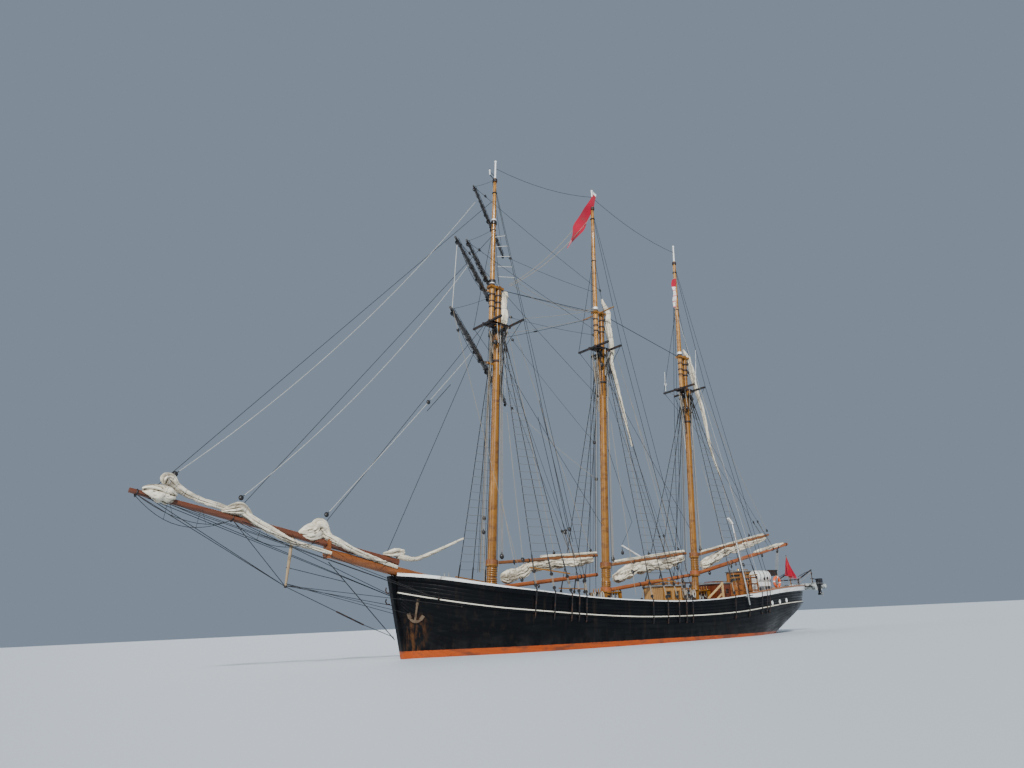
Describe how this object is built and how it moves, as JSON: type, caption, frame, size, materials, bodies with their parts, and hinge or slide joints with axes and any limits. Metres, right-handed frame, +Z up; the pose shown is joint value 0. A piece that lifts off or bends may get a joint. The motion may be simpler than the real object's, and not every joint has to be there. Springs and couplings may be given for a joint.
{
  "type": "three-masted topsail schooner, 1:2 scale model",
  "caption": "Topsail schooner afloat: planked wooden hull, raked masts, furled sails, braced yards, deckhouses, and a tender on stern davits.",
  "frame": {"origin": "on the centre line amidships, at the height of the water she floats in", "axes": "+X to the bow, +Y to port, +Z up"},
  "size_m": [21.8966, 5.1809, 15.3628],
  "materials": {
    "black_paint": "satin",
    "bottom_paint": "matte",
    "brown_paint": "satin",
    "red_paint": "satin",
    "grey_paint": "satin",
    "varnished_wood": "gloss",
    "dark_wood": "gloss",
    "iron": "satin",
    "rusty_iron": "matte",
    "canvas": "matte",
    "bronze": "satin",
    "hull_wood": "satin",
    "cream_wood": "satin",
    "white_wood": "satin",
    "brown_wood": "gloss",
    "tube_fabric": "satin",
    "white_shell": "gloss",
    "steel_wire": "satin",
    "motor_cover": "gloss"
  },
  "bodies": {
    "ship": {"hull": "hull_wood", "keel_and_stem": "hull_wood", "bulwark": "hull_wood", "cap_rail": "white_wood", "rub_rail": "cream_wood", "quarter_rail": "brown_wood", "bowsprit": "varnished_wood", "jib_boom": "red_paint", "dolphin_striker": "varnished_wood", "main_spring_stay": "steel_wire", "mizzen_spring_stay": "steel_wire", "midship_house": "varnished_wood", "midship_roof": "grey_paint", "companion_house": "dark_wood", "companion_roof": "grey_paint", "wheel_shelter": "varnished_wood", "shelter_roof": "grey_paint", "windlass": "iron", "fore_hatch": "varnished_wood", "skylight": "brown_wood", "bowsprit_bitts": "varnished_wood", "life_raft": "white_shell", "anchor_port": "rusty_iron", "anchor_starboard": "rusty_iron", "davits": "iron", "tender": "tube_fabric", "outboard": "motor_cover", "foremast": "varnished_wood", "fore_trestletrees": "iron", "fore_topmast": "varnished_wood", "fore_topsail": "canvas", "mainmast": "varnished_wood", "main_trestletrees": "iron", "main_topmast": "varnished_wood", "main_topsail": "canvas", "mizzenmast": "varnished_wood", "mizzen_trestletrees": "iron", "mizzen_topmast": "varnished_wood", "mizzen_topsail": "canvas", "flying_jib": "canvas", "outer_jib": "canvas", "inner_jib": "canvas", "forestaysail": "canvas"},
    "fore_boom_and_gaff": {"fore_boom": "red_paint", "fore_gaff": "brown_paint", "fore_sail": "canvas"},
    "main_boom_and_gaff": {"main_boom": "red_paint", "main_gaff": "brown_paint", "main_sail": "canvas"},
    "mizzen_boom_and_gaff": {"mizzen_boom": "red_paint", "mizzen_gaff": "brown_paint", "mizzen_sail": "canvas"},
    "lower_yard": {"lower_yard": "black_paint"},
    "lower_topsail_yard": {"lower_topsail_yard": "black_paint"},
    "upper_topsail_yard": {"upper_topsail_yard": "black_paint"},
    "topgallant_yard": {"topgallant_yard": "black_paint"},
    "rudder": {"rudder": "bottom_paint"},
    "steering_wheel": {"steering_wheel": "varnished_wood"},
    "propeller": {"propeller": "bronze"},
    "companion_door": {"companion_door": "dark_wood"}
  },
  "joints": [
    {"name": "fore_boom_swing", "type": "hinge", "parent": "ship", "child": "fore_boom_and_gaff", "pos_m": [4.82, 0, 0], "axis": [-0.0785, 0, 0.9969], "range_deg": [-40, 40]},
    {"name": "main_boom_swing", "type": "hinge", "parent": "ship", "child": "main_boom_and_gaff", "pos_m": [0.935, 0, 0], "axis": [-0.0785, 0, 0.9969], "range_deg": [-40, 40]},
    {"name": "mizzen_boom_swing", "type": "hinge", "parent": "ship", "child": "mizzen_boom_and_gaff", "pos_m": [-2.745, 0, 0], "axis": [-0.0785, 0, 0.9969], "range_deg": [-40, 40]},
    {"name": "lower_yard_brace", "type": "hinge", "parent": "ship", "child": "lower_yard", "pos_m": [4.54122, 0, 7.36583], "axis": [-0.0785, 0, 0.9969], "range_deg": [-3.5, 96.5]},
    {"name": "lower_topsail_yard_brace", "type": "hinge", "parent": "ship", "child": "lower_topsail_yard", "pos_m": [4.42748, 0, 9.44833], "axis": [-0.0785, 0, 0.9969], "range_deg": [-1.8, 98.2]},
    {"name": "upper_topsail_yard_brace", "type": "hinge", "parent": "ship", "child": "upper_topsail_yard", "pos_m": [4.27278, 0, 9.75714], "axis": [-0.0785, 0, 0.9969], "range_deg": [-2.3, 97.7]},
    {"name": "topgallant_yard_brace", "type": "hinge", "parent": "ship", "child": "topgallant_yard", "pos_m": [4.13077, 0, 11.56156], "axis": [-0.0785, 0, 0.9969], "range_deg": [-2.3, 97.7]},
    {"name": "rudder_turn", "type": "hinge", "parent": "ship", "child": "rudder", "pos_m": [-5.84, 0, 0], "axis": [0, 0, 1], "range_deg": [-35, 35]},
    {"name": "wheel_turn", "type": "hinge", "parent": "ship", "child": "steering_wheel", "pos_m": [-5.2148, 0, 1.38408], "axis": [1, 0, 0], "range_deg": [-420, 420]},
    {"name": "propeller_turn", "type": "hinge", "parent": "ship", "child": "propeller", "pos_m": [-5.3, 0, -0.82], "axis": [1, 0, 0], "continuous": true},
    {"name": "door_swing", "type": "hinge", "parent": "ship", "child": "companion_door", "pos_m": [-3.8675, 0.202, 1.144], "axis": [0, 0, 1], "range_deg": [-100, 0]}
  ],
  "couplings": [
    {"joint": "wheel_turn", "follows": "rudder_turn", "ratio": 12}
  ]
}
